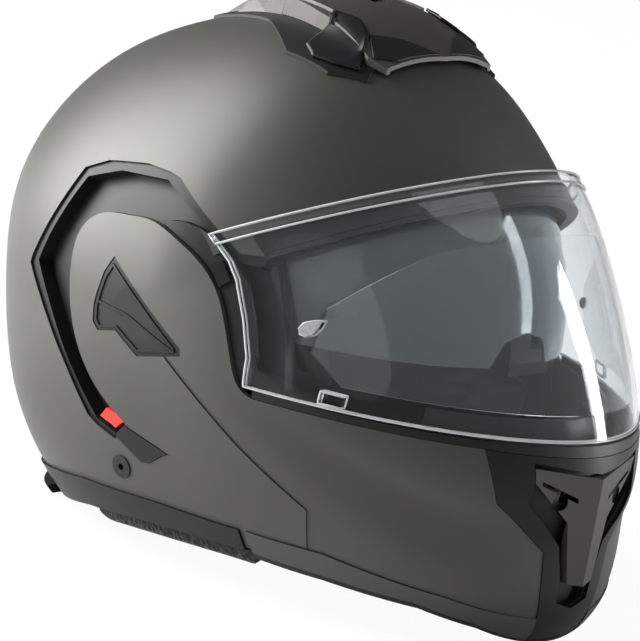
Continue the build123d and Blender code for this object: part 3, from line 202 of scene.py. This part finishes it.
def looped_fabric():
    paint = Paint("looped_fabric", (0.012, 0.012, 0.013), 0.9, Sheen_Weight=0.15, Sheen_Roughness=0.4)
    loops = paint.texture("ShaderNodeTexVoronoi", 420.0)
    fuzz = paint.texture("ShaderNodeTexNoise", 180.0, Detail=5.0)
    paint.color_from(loops.outputs["Distance"], (0.006, 0.006, 0.007), (0.026, 0.026, 0.028))
    paint.bump_from(fuzz.outputs["Fac"], 0.5, 0.0012)
    paint.bump_from(loops.outputs["Distance"], 0.8, 0.0012)
    return paint.material


def woven_webbing():
    paint = Paint("woven_webbing", (0.02, 0.02, 0.021), 0.7, Sheen_Weight=0.2)
    weave = paint.texture("ShaderNodeTexWave", 260.0, Distortion=0.4)
    paint.bump_from(weave.outputs["Fac"], 0.5, 0.0005)
    paint.color_from(weave.outputs["Fac"], (0.012, 0.012, 0.013), (0.035, 0.035, 0.037))
    return paint.material


def brushed_steel():
    paint = Paint("brushed_steel", (0.55, 0.55, 0.57), 0.32, 1.0)
    streak = paint.texture("ShaderNodeTexNoise", 420.0, Detail=2.0)
    paint.roughness_from(streak.outputs["Fac"], 0.26, 0.42)
    return paint.material


finishes = {
    "painted_shell": satin_paint(),
    "dark_trim": grained_plastic("dark_grained_plastic", (0.0085, 0.0085, 0.0092), 0.46),
    "vent_trim": satin_vent_plastic(),
    "rubber_trim": soft_rubber(),
    "red_plastic": red_plastic(),
    "clear_lens": clear_lens(),
    "lit_edge": lit_edge(),
    "tinted_lens": tinted_lens(),
    "dark_tab": grained_plastic("dark_smooth_plastic", (0.010, 0.010, 0.011), 0.34),
    "pale_pins": pale_plastic(),
    "foam": bead_foam(),
    "lining": smooth_lining(),
    "hem": looped_fabric(),
    "webbing": woven_webbing(),
    "steel": brushed_steel(),
}


def dress_nodes():
    """Give every CAD node the finish that its slot names."""
    slot_of = {entry["node"]: entry["material_slot"] for entry in frame["record"]["subparts"]}
    for name, node in nodes.items():
        node.data.materials.clear()
        node.data.materials.append(finishes[slot_of[name]])


# ---- Soft lining ----

SWELL_PRESSURE = 4.0
SWELL_FRAMES = 20
SMOOTHING = 0.5
LAST_ROUNDS = 2
COPY_MERGE_DISTANCE = 1e-5


def copy_of(node, name):
    """A merged copy of a CAD node's mesh as a new piece."""
    piece = bpy.data.objects.new(name, nodes[node].data.copy())
    bpy.context.scene.collection.objects.link(piece)
    shape = bmesh.new()
    shape.from_mesh(piece.data)
    bmesh.ops.remove_doubles(shape, verts=shape.verts, dist=COPY_MERGE_DISTANCE)
    shape.to_mesh(piece.data)
    shape.free()
    return piece


def apply_modifiers(piece):
    """Keep the piece's evaluated shape and drop its modifiers."""
    shown = piece.evaluated_get(bpy.context.evaluated_depsgraph_get())
    mesh = bpy.data.meshes.new_from_object(shown)
    piece.modifiers.clear()
    piece.data = mesh


def remesh(piece, voxel):
    """Cover the piece with even faces of about the voxel's size."""
    change = piece.modifiers.new("remesh", "REMESH")
    change.mode = "VOXEL"
    change.voxel_size = voxel
    apply_modifiers(piece)


def soften(piece, rounds):
    """Smooth the corners off a piece."""
    shape = bmesh.new()
    shape.from_mesh(piece.data)
    for _ in range(rounds):
        bmesh.ops.smooth_vert(shape, verts=shape.verts, factor=SMOOTHING, use_axis_x=True,
                              use_axis_y=True, use_axis_z=True)
    shape.to_mesh(piece.data)
    shape.free()


def swell(piece, cap):
    """Blow the piece up a little as sewn fabric over foam, and keep the result."""
    start = [vertex.co.copy() for vertex in piece.data.vertices]
    cloth = piece.modifiers.new("cloth", "CLOTH")
    cloth.settings.use_pressure = True
    cloth.settings.uniform_pressure_force = SWELL_PRESSURE
    cloth.settings.effector_weights.gravity = 0.0
    cloth.point_cache.frame_start, cloth.point_cache.frame_end = 1, SWELL_FRAMES
    for step in range(1, SWELL_FRAMES + 1):
        bpy.context.scene.frame_set(step)
    apply_modifiers(piece)
    for vertex, place in zip(piece.data.vertices, start):
        move = vertex.co - place
        if move.length > cap:
            vertex.co = place + move.normalized() * cap
    bpy.context.scene.frame_set(1)


def padded_lining(node, name, body, cap, shrink_rounds, voxel, fill):
    """A soft pad in the place of a CAD solid."""
    piece = copy_of(node, name)
    remesh(piece, voxel)
    soften(piece, shrink_rounds)
    swell(piece, cap)
    soften(piece, LAST_ROUNDS)
    for face in piece.data.polygons:
        face.use_smooth = True
    finer = piece.modifiers.new("finer", "SUBSURF")
    finer.levels = finer.render_levels = 1
    piece.data.materials.clear()
    piece.data.materials.append(finishes["lining"])
    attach(piece, body)
    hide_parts(node)


def ear_point(ahead, rise, across=0.0):
    """A place from how far it lies ahead of and above the ear axis, in millimetres."""
    return EAR_AXIS + Vector((across, -ahead, rise)) / 1000.0


def smooth_run(points, steps):
    """A smooth line through the points, several steps to each span."""
    line = []
    for k in range(len(points) - 1):
        before, start = points[max(k - 1, 0)], points[k]
        end, after = points[k + 1], points[min(k + 2, len(points) - 1)]
        for step in range(steps):
            t = step / steps
            bend = 2 * before - 5 * start + 4 * end - after
            swing = 3 * start - before - 3 * end + after
            line.append(0.5 * (2 * start + (end - before) * t + bend * t ** 2 + swing * t ** 3))
    return line + [points[-1]]


def new_piece(name, shape, finish, body):
    """A piece from a mesh under construction, in its finish and on its body."""
    bmesh.ops.recalc_face_normals(shape, faces=shape.faces)
    mesh = bpy.data.meshes.new(name)
    shape.to_mesh(mesh)
    shape.free()
    piece = bpy.data.objects.new(name, mesh)
    bpy.context.scene.collection.objects.link(piece)
    mesh.materials.append(finishes[finish])
    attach(piece, body)
    return piece


JOIN_DISTANCE = 1e-7


def drawn_out(rows, closed_row, closed_run):
    """A mesh under construction: its first row of places, extruded through all the others."""
    def neighbours(row):
        return zip(row, row[1:] + (row[:1] if closed_row else []))

    shape = bmesh.new()
    row = [shape.verts.new(place) for place in rows[0]]
    edges = [shape.edges.new(pair) for pair in neighbours(row)]
    first_row, first_edges = row, edges
    for places in rows[1:] + (rows[:1] if closed_run else []):
        new = bmesh.ops.extrude_edge_only(shape, edges=edges)["geom"]
        row = [one for one in new if isinstance(one, bmesh.types.BMVert)]
        edges = [shape.edges.get(pair) for pair in neighbours(row)]
        for vertex, place in zip(row, places):
            vertex.co = place
    if closed_run:
        bmesh.ops.remove_doubles(shape, verts=first_row + row, dist=JOIN_DISTANCE)
    elif closed_row:
        bmesh.ops.edgeloop_fill(shape, edges=first_edges)
        bmesh.ops.edgeloop_fill(shape, edges=edges)
    return shape


STRAP_WIDTH = 0.025
STRAP_THICK = 0.0018
STRAP_AHEAD = -17.6
STRAP_STEPS = 8
STRAP_EDGE_RISE = 0.0004
STRAP_ROLL_SHARE = 0.46
STRAP_SHARES = (-0.5, -STRAP_ROLL_SHARE, -0.4, 0.0, 0.4, STRAP_ROLL_SHARE, 0.5)
STRAP_POINTS = [(104.1, -74.0), (97.8, -86.0), (87.4, -99.0), (79.0, -106.0), (68.6, -111.5),
                (62.2, -113.6)]
LONG_STRAP_END = [(38.1, -113.6), (0.0, -113.6), (-19.9, -113.6)]


def webbing_strap(node, name, route):
    """A flat webbing strap with a rolled edge along each side."""
    line = smooth_run([ear_point(STRAP_AHEAD, rise, across) for across, rise in route], STRAP_STEPS)
    rows = []
    for k, place in enumerate(line):
        along = (line[min(k + 1, len(line) - 1)] - line[max(k - 1, 0)]).normalized()
        out = along.cross(Vector((0.0, 1.0, 0.0)))
        row = []
        for share in STRAP_SHARES:
            rise = STRAP_EDGE_RISE if abs(share) == STRAP_ROLL_SHARE else 0.0
            row.append(place + Vector((0.0, share * STRAP_WIDTH, 0.0)) + out * rise)
        rows.append(row)
    shape = drawn_out(rows, closed_row=False, closed_run=False)
    piece = new_piece(name, shape, "webbing", "helmet_body")
    thick = piece.modifiers.new("thick", "SOLIDIFY")
    thick.thickness, thick.offset = STRAP_THICK, 0.0
    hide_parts(node)


def chin_straps():
    """The short half on the left and the long half, mirrored, on the right."""
    webbing_strap("chin_strap_left", "strap_webbing_left", STRAP_POINTS)
    long_half = [(-across, rise) for across, rise in STRAP_POINTS[:-1] + LONG_STRAP_END]
    webbing_strap("chin_strap_right", "strap_webbing_right", long_half)


LINE_STEP = 0.0015
LINE_SINK = 0.0004
LINE_SHOULDER = 0.28
RAY_START = 0.2


def face_tree(*names):
    """What a ray meets on the given CAD nodes."""
    shape = bmesh.new()
    for name in names:
        shape.from_mesh(nodes[name].data)
    tree = BVHTree.FromBMesh(shape)
    shape.free()
    return tree


def walked(points, step, closed):
    """Places a step apart along straight runs."""
    ends = points[1:] + points[:1] if closed else points[1:]
    line = []
    for start, end in zip(points, ends):
        count = max(1, round((end - start).length / step))
        line += [start.lerp(end, k / count) for k in range(count)]
    return line if closed else line + [points[-1]]


def raised_line(name, on, points, width, rise, toward, body, finish, closed=True):
    """A moulded line that follows a CAD face, found by looking toward it from outside."""
    tree = face_tree(*on)
    line = walked(points, LINE_STEP, closed)
    section = ((-0.5, -LINE_SINK), (-LINE_SHOULDER, rise), (LINE_SHOULDER, rise), (0.5, -LINE_SINK))
    count = len(line)
    rows = []
    for k, place in enumerate(line):
        before = line[k - 1] if closed or k else place
        after = line[(k + 1) % count] if closed or k < count - 1 else place
        side = (after - before).normalized().cross(toward).normalized()
        row = []
        for across, up in section:
            start = place + side * across * width - toward * RAY_START
            hit = tree.ray_cast(start, toward)[0]
            if hit is None:
                break
            row.append(hit - toward * up)
        if len(row) == len(section):
            rows.append(row)
    new_piece(name, drawn_out(rows, closed_row=True, closed_run=closed), finish, body)


INSET_FRAME = [(-19.4, 15.5), (23.5, -11.8), (24.3, -13.2), (3.7, -18.6), (-10.5, -11.4), (-21.5, -14.0),
               (-24.2, -11.5), (-25.0, -4.8), (-24.2, 0.8), (-22.4, 9.5)]
INSET_RIB = [(-24.6, -3.0), (-5.6, -4.6), (23.0, -13.4)]
FRAME_WIDTH, FRAME_RISE = 0.0018, 0.0007
RIB_WIDTH, RIB_RISE = 0.0024, 0.0006


def pod_frames():
    """The raised frame and the bent rib on each pod's inset."""
    for side, word in ((-1.0, "right"), (1.0, "left")):
        toward = Vector((-side, 0.0, 0.0))
        frame_line = [ear_point(ahead, rise) for ahead, rise in INSET_FRAME]
        rib_line = [ear_point(ahead, rise) for ahead, rise in INSET_RIB]
        node = "pod_inset_" + word
        raised_line("pod_frame_" + word, [node], frame_line, FRAME_WIDTH, FRAME_RISE, toward,
                    "chin_bar_body", "dark_tab")
        raised_line("pod_rib_" + word, [node], rib_line, RIB_WIDTH, RIB_RISE, toward,
                    "chin_bar_body", "dark_tab", closed=False)


PATCH_CUTS = 4
PATCH_SMOOTHING = 0.6
PATCH_THICK_SHARE = 1.2


def surface_patch(name, on, outline, lift, toward, body, finish, rounds=0):
    """A thin plate of a given outline that lies on a CAD face."""
    tree = face_tree(*on)
    shape = bmesh.new()
    shape.faces.new([shape.verts.new(place) for place in outline])
    bmesh.ops.triangulate(shape, faces=shape.faces)
    for _ in range(PATCH_CUTS):
        bmesh.ops.subdivide_edges(shape, edges=shape.edges, cuts=1, use_grid_fill=True)
    missed = []
    for vertex in shape.verts:
        hit = tree.ray_cast(vertex.co - toward * RAY_START, toward)[0]
        if hit is None:
            missed.append(vertex)
        else:
            vertex.co = hit - toward * lift
    bmesh.ops.delete(shape, geom=missed, context="VERTS")
    for _ in range(rounds):
        bmesh.ops.smooth_vert(shape, verts=[v for v in shape.verts if not v.is_boundary],
                              factor=PATCH_SMOOTHING,
                              use_axis_x=True, use_axis_y=True, use_axis_z=True)
    piece = new_piece(name, shape, finish, body)
    for face in piece.data.polygons:
        face.use_smooth = True
    thick = piece.modifiers.new("thick", "SOLIDIFY")
    thick.thickness, thick.offset = lift * PATCH_THICK_SHARE, 0.0


DOWN = Vector((0.0, 0.0, -1.0))
VENT_PARTS = ("top_vent_scoop", "top_vent_base", "outer_shell")
VENT_VIEW_HEIGHT = 250.0
# Outline of the black plate that paints the shade in each hood mouth
VENT_MOUTH_SHADE = [(33.0, -19.9), (18.3, -28.5), (7.6, -37.2), (3.2, -40.2), (18.0, -38.9), (31.0, -37.6),
              (40.8, -31.0)]
VENT_WING = [(33.4, 1.6), (29.5, -11.0), (33.5, -20.0), (48.0, -29.9), (54.4, -18.9), (57.0, -8.7),
             (52.8, -0.3)]
VENT_EDGE = [(24.0, 66.0), (30.5, 34.5), (32.4, 14.2), (33.0, 3.0)]
# Outline of the black plate that paints the shade in each slot
VENT_SLOT_SHADE = [(45.8, -6.0), (38.4, 0.4), (35.2, 0.2), (41.6, -5.8)]
WING_LIFT, MOUTH_SHADE_LIFT, SLOT_SHADE_LIFT = 0.0012, 0.0004, 0.0012
WING_ROUNDS = 25
VENT_EDGE_WIDTH, VENT_EDGE_RISE = 0.0016, 0.0013


def vent_details():
    """The slider's wings and bright edges on the crown vent, with black plates on the hood's mouths and on
    the slots as painted shade inside these openings.
    """
    for side, word in ((-1.0, "right"), (1.0, "left")):
        def outline(points):
            return [Vector((side * across, back, VENT_VIEW_HEIGHT)) / 1000.0 for across, back in points]
        surface_patch("vent_wing_" + word, VENT_PARTS, outline(VENT_WING), WING_LIFT, DOWN,
                      "helmet_body", "dark_tab", rounds=WING_ROUNDS)
        # Black plates over the hood's mouths: painted shade where the openings lie in shadow
        surface_patch("vent_mouth_shade_" + word, VENT_PARTS, outline(VENT_MOUTH_SHADE), MOUTH_SHADE_LIFT, DOWN,
                      "helmet_body", "rubber_trim")
        # Black plates over the slots: painted shade inside the slots
        surface_patch("vent_slot_shade_" + word, VENT_PARTS, outline(VENT_SLOT_SHADE), SLOT_SHADE_LIFT, DOWN,
                      "helmet_body", "rubber_trim")
        raised_line("vent_edge_" + word, VENT_PARTS, outline(VENT_EDGE), VENT_EDGE_WIDTH, VENT_EDGE_RISE,
                    DOWN, "helmet_body", "vent_trim", closed=False)


SHARP_ANGLE = math.radians(40.0)
MERGE_DISTANCE = 1e-6
SHORTEST_EDGE = 0.05
EDGE_LINE_RADIUS = 0.00055


def sharp_edges(node):
    """The CAD node's sharp edges as chains of places."""
    shape = bmesh.new()
    shape.from_mesh(nodes[node].data)
    bmesh.ops.remove_doubles(shape, verts=shape.verts, dist=MERGE_DISTANCE)
    left = {edge for edge in shape.edges
            if len(edge.link_faces) == 2 and edge.calc_face_angle(0.0) > SHARP_ANGLE}
    chains = []
    while left:
        edge = min(left, key=lambda one: one.index)
        left.discard(edge)
        chain = list(edge.verts)
        for end in (1, 0):
            if end == 0:
                chain.reverse()
            while True:
                onward = [one for one in chain[-1].link_edges if one in left]
                if not onward:
                    break
                left.discard(onward[0])
                chain.append(onward[0].other_vert(chain[-1]))
        chains.append([vertex.co.copy() for vertex in chain])
    shape.free()
    return chains


def visor_edges():
    """Pale tubes along the clear visor's cut edges, a painted highlight where the edges catch the light."""
    curve = bpy.data.curves.new("visor_edge_line", "CURVE")
    curve.dimensions = "3D"
    curve.bevel_depth = EDGE_LINE_RADIUS
    curve.bevel_resolution = 1
    for chain in sharp_edges("visor_lens"):
        if sum((b - a).length for a, b in zip(chain, chain[1:])) < SHORTEST_EDGE:
            continue
        spline = curve.splines.new("POLY")
        spline.points.add(len(chain) - 1)
        for point, place in zip(spline.points, chain):
            point.co = (*place, 1.0)
    line = bpy.data.objects.new("visor_edge_line", curve)
    bpy.context.scene.collection.objects.link(line)
    shown = line.evaluated_get(bpy.context.evaluated_depsgraph_get())
    mesh = bpy.data.meshes.new_from_object(shown)
    bpy.data.objects.remove(line)
    piece = bpy.data.objects.new("visor_lit_edges", mesh)
    bpy.context.scene.collection.objects.link(piece)
    mesh.materials.clear()
    mesh.materials.append(finishes["lit_edge"])
    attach(piece, "visor_body")


HEM_ROUTE = [(-58.0, -89.2, 19.6), (-40.0, -90.2, 18.7), (-16.0, -91.0, 16.9), (8.0, -89.6, 14.5),
             (32.0, -84.0, 10.9), (44.0, -79.0, 8.6), (56.0, -71.6, 7.2), (68.0, -60.5, 7.0),
             (78.0, -46.0, 7.0)]
HEM_HALF_THICK = 0.0026
HEM_HALF_HEIGHT = 0.0064
HEM_STEPS = 10
HEM_SIDES = 12
HEM_END_SHARE, HEM_END_GROWTH = 0.35, 0.2


def lower_hem():
    """The looped fabric hem that shows below the rim trim on both sides."""
    for side, word in ((-1.0, "right"), (1.0, "left")):
        route = [Vector((-side * across, back, up)) / 1000.0 for back, across, up in HEM_ROUTE]
        line = smooth_run(route, HEM_STEPS)
        rings = []
        for k, place in enumerate(line):
            along = (line[min(k + 1, len(line) - 1)] - line[max(k - 1, 0)]).normalized()
            out = along.cross(Vector((0.0, 0.0, 1.0))).normalized()
            ends = min(1.0, HEM_END_SHARE + HEM_END_GROWTH * min(k, len(line) - 1 - k))
            ring = []
            for step in range(HEM_SIDES):
                turn = 2 * math.pi * step / HEM_SIDES
                across = out * math.cos(turn) * HEM_HALF_THICK * ends
                rise = Vector((0.0, 0.0, math.sin(turn) * HEM_HALF_HEIGHT * ends))
                ring.append(place + across + rise)
            rings.append(ring)
        shape = drawn_out(rings, closed_row=True, closed_run=False)
        piece = new_piece("lower_hem_" + word, shape, "hem", "helmet_body")
        for face in piece.data.polygons:
            face.use_smooth = True


# CAD solid, piece that stands for it, body, how far it may swell, smoothing rounds, voxel and fill
LININGS = [
    ("chin_curtain", "chin_curtain_cloth", "chin_bar_body", 0.001, 2, 0.003, 0.7),
    ("crown_pad", "crown_lining", "helmet_body", 0.003, 6, 0.005, 0.6),
    ("cheek_pad_right", "cheek_lining_right", "helmet_body", 0.004, 6, 0.005, 0.6),
    ("cheek_pad_left", "cheek_lining_left", "helmet_body", 0.004, 6, 0.005, 0.6),
    ("neck_roll", "neck_lining", "helmet_body", 0.002, 6, 0.004, 0.6),
]


def soft_lining():
    """The pads, the neck roll and the chin curtain."""
    for lining in LININGS:
        padded_lining(*lining)


# ---- Stage ----

def to_resting(direction):
    """A direction in the riding pose, turned nose up into the resting pose."""
    return Matrix.Rotation(-RIDING_PITCH, 3, "X") @ direction


def photo_camera():
    """The camera at the photo's turn, rise and focal length."""
    back = Vector((math.sin(VIEW_TURN) * math.cos(VIEW_RISE), -math.cos(VIEW_TURN) * math.cos(VIEW_RISE),
                   math.sin(VIEW_RISE)))
    right = Vector((math.cos(VIEW_TURN), math.sin(VIEW_TURN), 0.0))
    back, right = to_resting(back), to_resting(right)
    up = back.cross(right)
    data = bpy.data.cameras.new("photo_camera")
    camera = bpy.data.objects.new("photo_camera", data)
    bpy.context.scene.collection.objects.link(camera)
    turn = Matrix((right, up, back)).transposed().to_4x4()
    camera.matrix_world = Matrix.Translation(EAR_AXIS + back * VIEW_DISTANCE) @ turn
    data.sensor_width = SENSOR_WIDTH
    data.lens = FOCAL_PIXELS * data.sensor_width / PHOTO_HEIGHT
    data.shift_x = (PHOTO_WIDTH / 2 - AIM_PIXEL[0]) / PHOTO_HEIGHT
    data.shift_y = (AIM_PIXEL[1] - PHOTO_HEIGHT / 2) / PHOTO_HEIGHT
    data.clip_end = CLIP_END
    bpy.context.scene.camera = camera


def area_light(name, place, power, width, height, mirrored, diffuse):
    """An area light aimed at the helmet: a disc, or a strip where it has a height of its own."""
    data = bpy.data.lights.new(name, "AREA")
    data.shape = "RECTANGLE" if height else "DISK"
    data.size, data.energy = width, power
    if height:
        data.size_y = height
    lamp = bpy.data.objects.new(name, data)
    lamp.location = place
    lamp.rotation_euler = (EAR_AXIS - Vector(place)).to_track_quat("-Z", "Y").to_euler()
    lamp.visible_glossy = mirrored
    lamp.visible_diffuse = diffuse
    bpy.context.scene.collection.objects.link(lamp)


def seen_white(tree, lit, white, share):
    """Mix a lit shader with plain white where a camera or glass ray looks."""
    path = tree.nodes.new("ShaderNodeLightPath")
    seen = tree.nodes.new("ShaderNodeMath")
    seen.operation = "MAXIMUM"
    tree.links.new(path.outputs["Is Camera Ray"], seen.inputs[0])
    tree.links.new(path.outputs["Is Transmission Ray"], seen.inputs[1])
    part = tree.nodes.new("ShaderNodeMath")
    part.operation = "MULTIPLY"
    part.inputs[1].default_value = share
    tree.links.new(seen.outputs[0], part.inputs[0])
    mix = tree.nodes.new("ShaderNodeMixShader")
    tree.links.new(part.outputs[0], mix.inputs["Fac"])
    tree.links.new(lit, mix.inputs[1])
    tree.links.new(white, mix.inputs[2])
    return mix.outputs[0]


FLOOR_SIZE = 30.0
FLOOR_ROUGHNESS = 0.9
FLOOR_WHITE_SHARE = 0.95
SKY_STRENGTH = 0.12
# Name, place, power, width, height (0 on a disc), whether it is mirrored, whether it lights matt faces.
# The strip is what the visor mirrors as a pale band.
LIGHTS = [
    ("left_bank", (-1.5, 2.3, 0.35), 210.0, 2.4, 0.0, True, True),
    ("high_bank", (-1.1, 2.0, 1.9), 95.0, 2.0, 0.0, True, True),
    ("top_bank", (0.2, -0.9, 1.9), 12.0, 1.2, 0.0, False, True),
    ("side_bank", (-2.2, -0.9, 1.0), 3.5, 1.4, 0.0, False, True),
    ("right_strip", (1.45, -1.25, 0.35), 60.0, 0.34, 1.8, True, False),
]


def studio():
    """Pale floor, white surround and soft lights."""
    bpy.ops.mesh.primitive_plane_add(size=FLOOR_SIZE)
    floor = bpy.context.object
    floor.name = "studio_floor"
    material = bpy.data.materials.new("studio_floor")
    material.use_nodes = True
    tree = material.node_tree
    shader = tree.nodes["Principled BSDF"]
    shader.inputs["Base Color"].default_value = (0.9, 0.9, 0.9, 1.0)
    shader.inputs["Roughness"].default_value = FLOOR_ROUGHNESS
    glow = tree.nodes.new("ShaderNodeEmission")
    mixed = seen_white(tree, shader.outputs[0], glow.outputs[0], FLOOR_WHITE_SHARE)
    tree.links.new(mixed, tree.nodes["Material Output"].inputs["Surface"])
    floor.data.materials.append(material)

    world = bpy.data.worlds.new("studio_world")
    bpy.context.scene.world = world
    world.use_nodes = True
    sky = world.node_tree
    lit = sky.nodes["Background"]
    lit.inputs["Color"].default_value = (1.0, 1.0, 1.0, 1.0)
    lit.inputs["Strength"].default_value = SKY_STRENGTH
    plain = sky.nodes.new("ShaderNodeBackground")
    plain.inputs["Color"].default_value = (1.0, 1.0, 1.0, 1.0)
    plain.inputs["Strength"].default_value = 1.0
    mixed = seen_white(sky, lit.outputs[0], plain.outputs[0], 1.0)
    sky.links.new(mixed, sky.nodes["World Output"].inputs["Surface"])

    for light in LIGHTS:
        area_light(*light)
    bpy.context.scene.view_settings.view_transform = "Standard"


dress_nodes()
soft_lining()
chin_straps()
pod_frames()
vent_details()
visor_edges()
lower_hem()
photo_camera()
studio()
